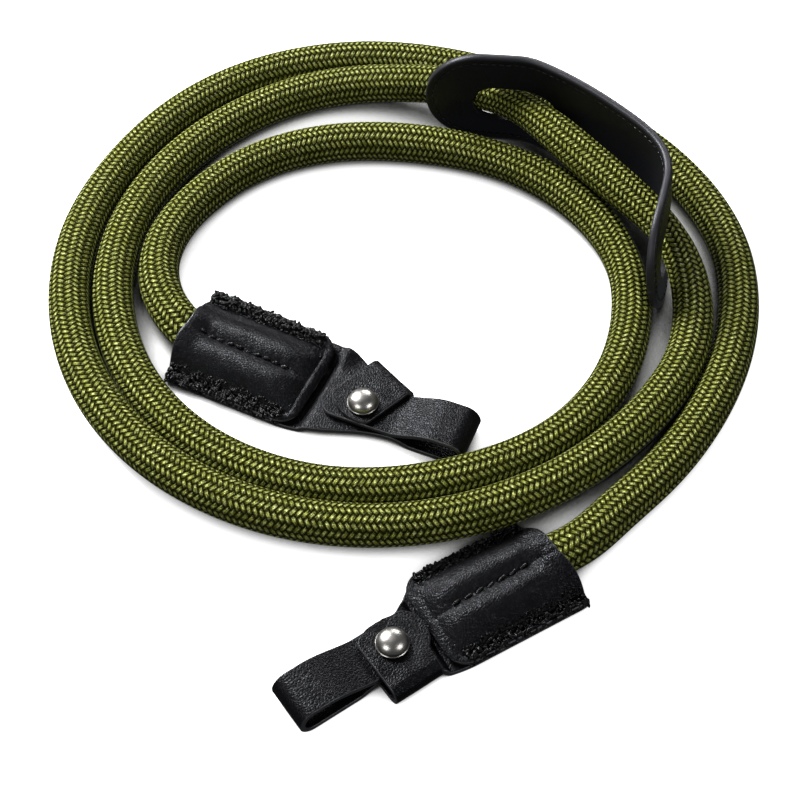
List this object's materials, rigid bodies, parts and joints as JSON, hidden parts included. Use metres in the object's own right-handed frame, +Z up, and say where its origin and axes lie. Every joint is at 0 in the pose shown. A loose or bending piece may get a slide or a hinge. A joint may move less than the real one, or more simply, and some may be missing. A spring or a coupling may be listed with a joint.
{
  "type": "camera neck strap",
  "caption": "Round braided rope laid in loops, with a padded leather tab, folded loop, keeper and stud at each end and a slotted leather shoulder pad standing on the rope.",
  "frame": {"origin": "on the floor, under the middle of the box round the two tabs and the shoulder pad, without the rope", "axes": "+Z up from the floor the strap lies on, +Y away from the viewer of the picture, +X to the viewer's right"},
  "size_m": [0.1902, 0.2214, 0.0321],
  "materials": {
    "cord": "matte round braid of fine shiny yarns, olive green",
    "leather": "black grained leather with a soft sheen",
    "stud": "polished domed metal"
  },
  "bodies": {
    "root": {"braided_rope": "cord", "rope_end_a": "cord", "rope_end_b": "cord", "sleeve_a": "leather", "sleeve_b": "leather", "tongue_a": "leather", "tongue_b": "leather", "keeper_a": "leather", "keeper_b": "leather", "stud_a": "stud", "stud_b": "stud", "shoulder_pad": "leather"}
  },
  "joints": []
}
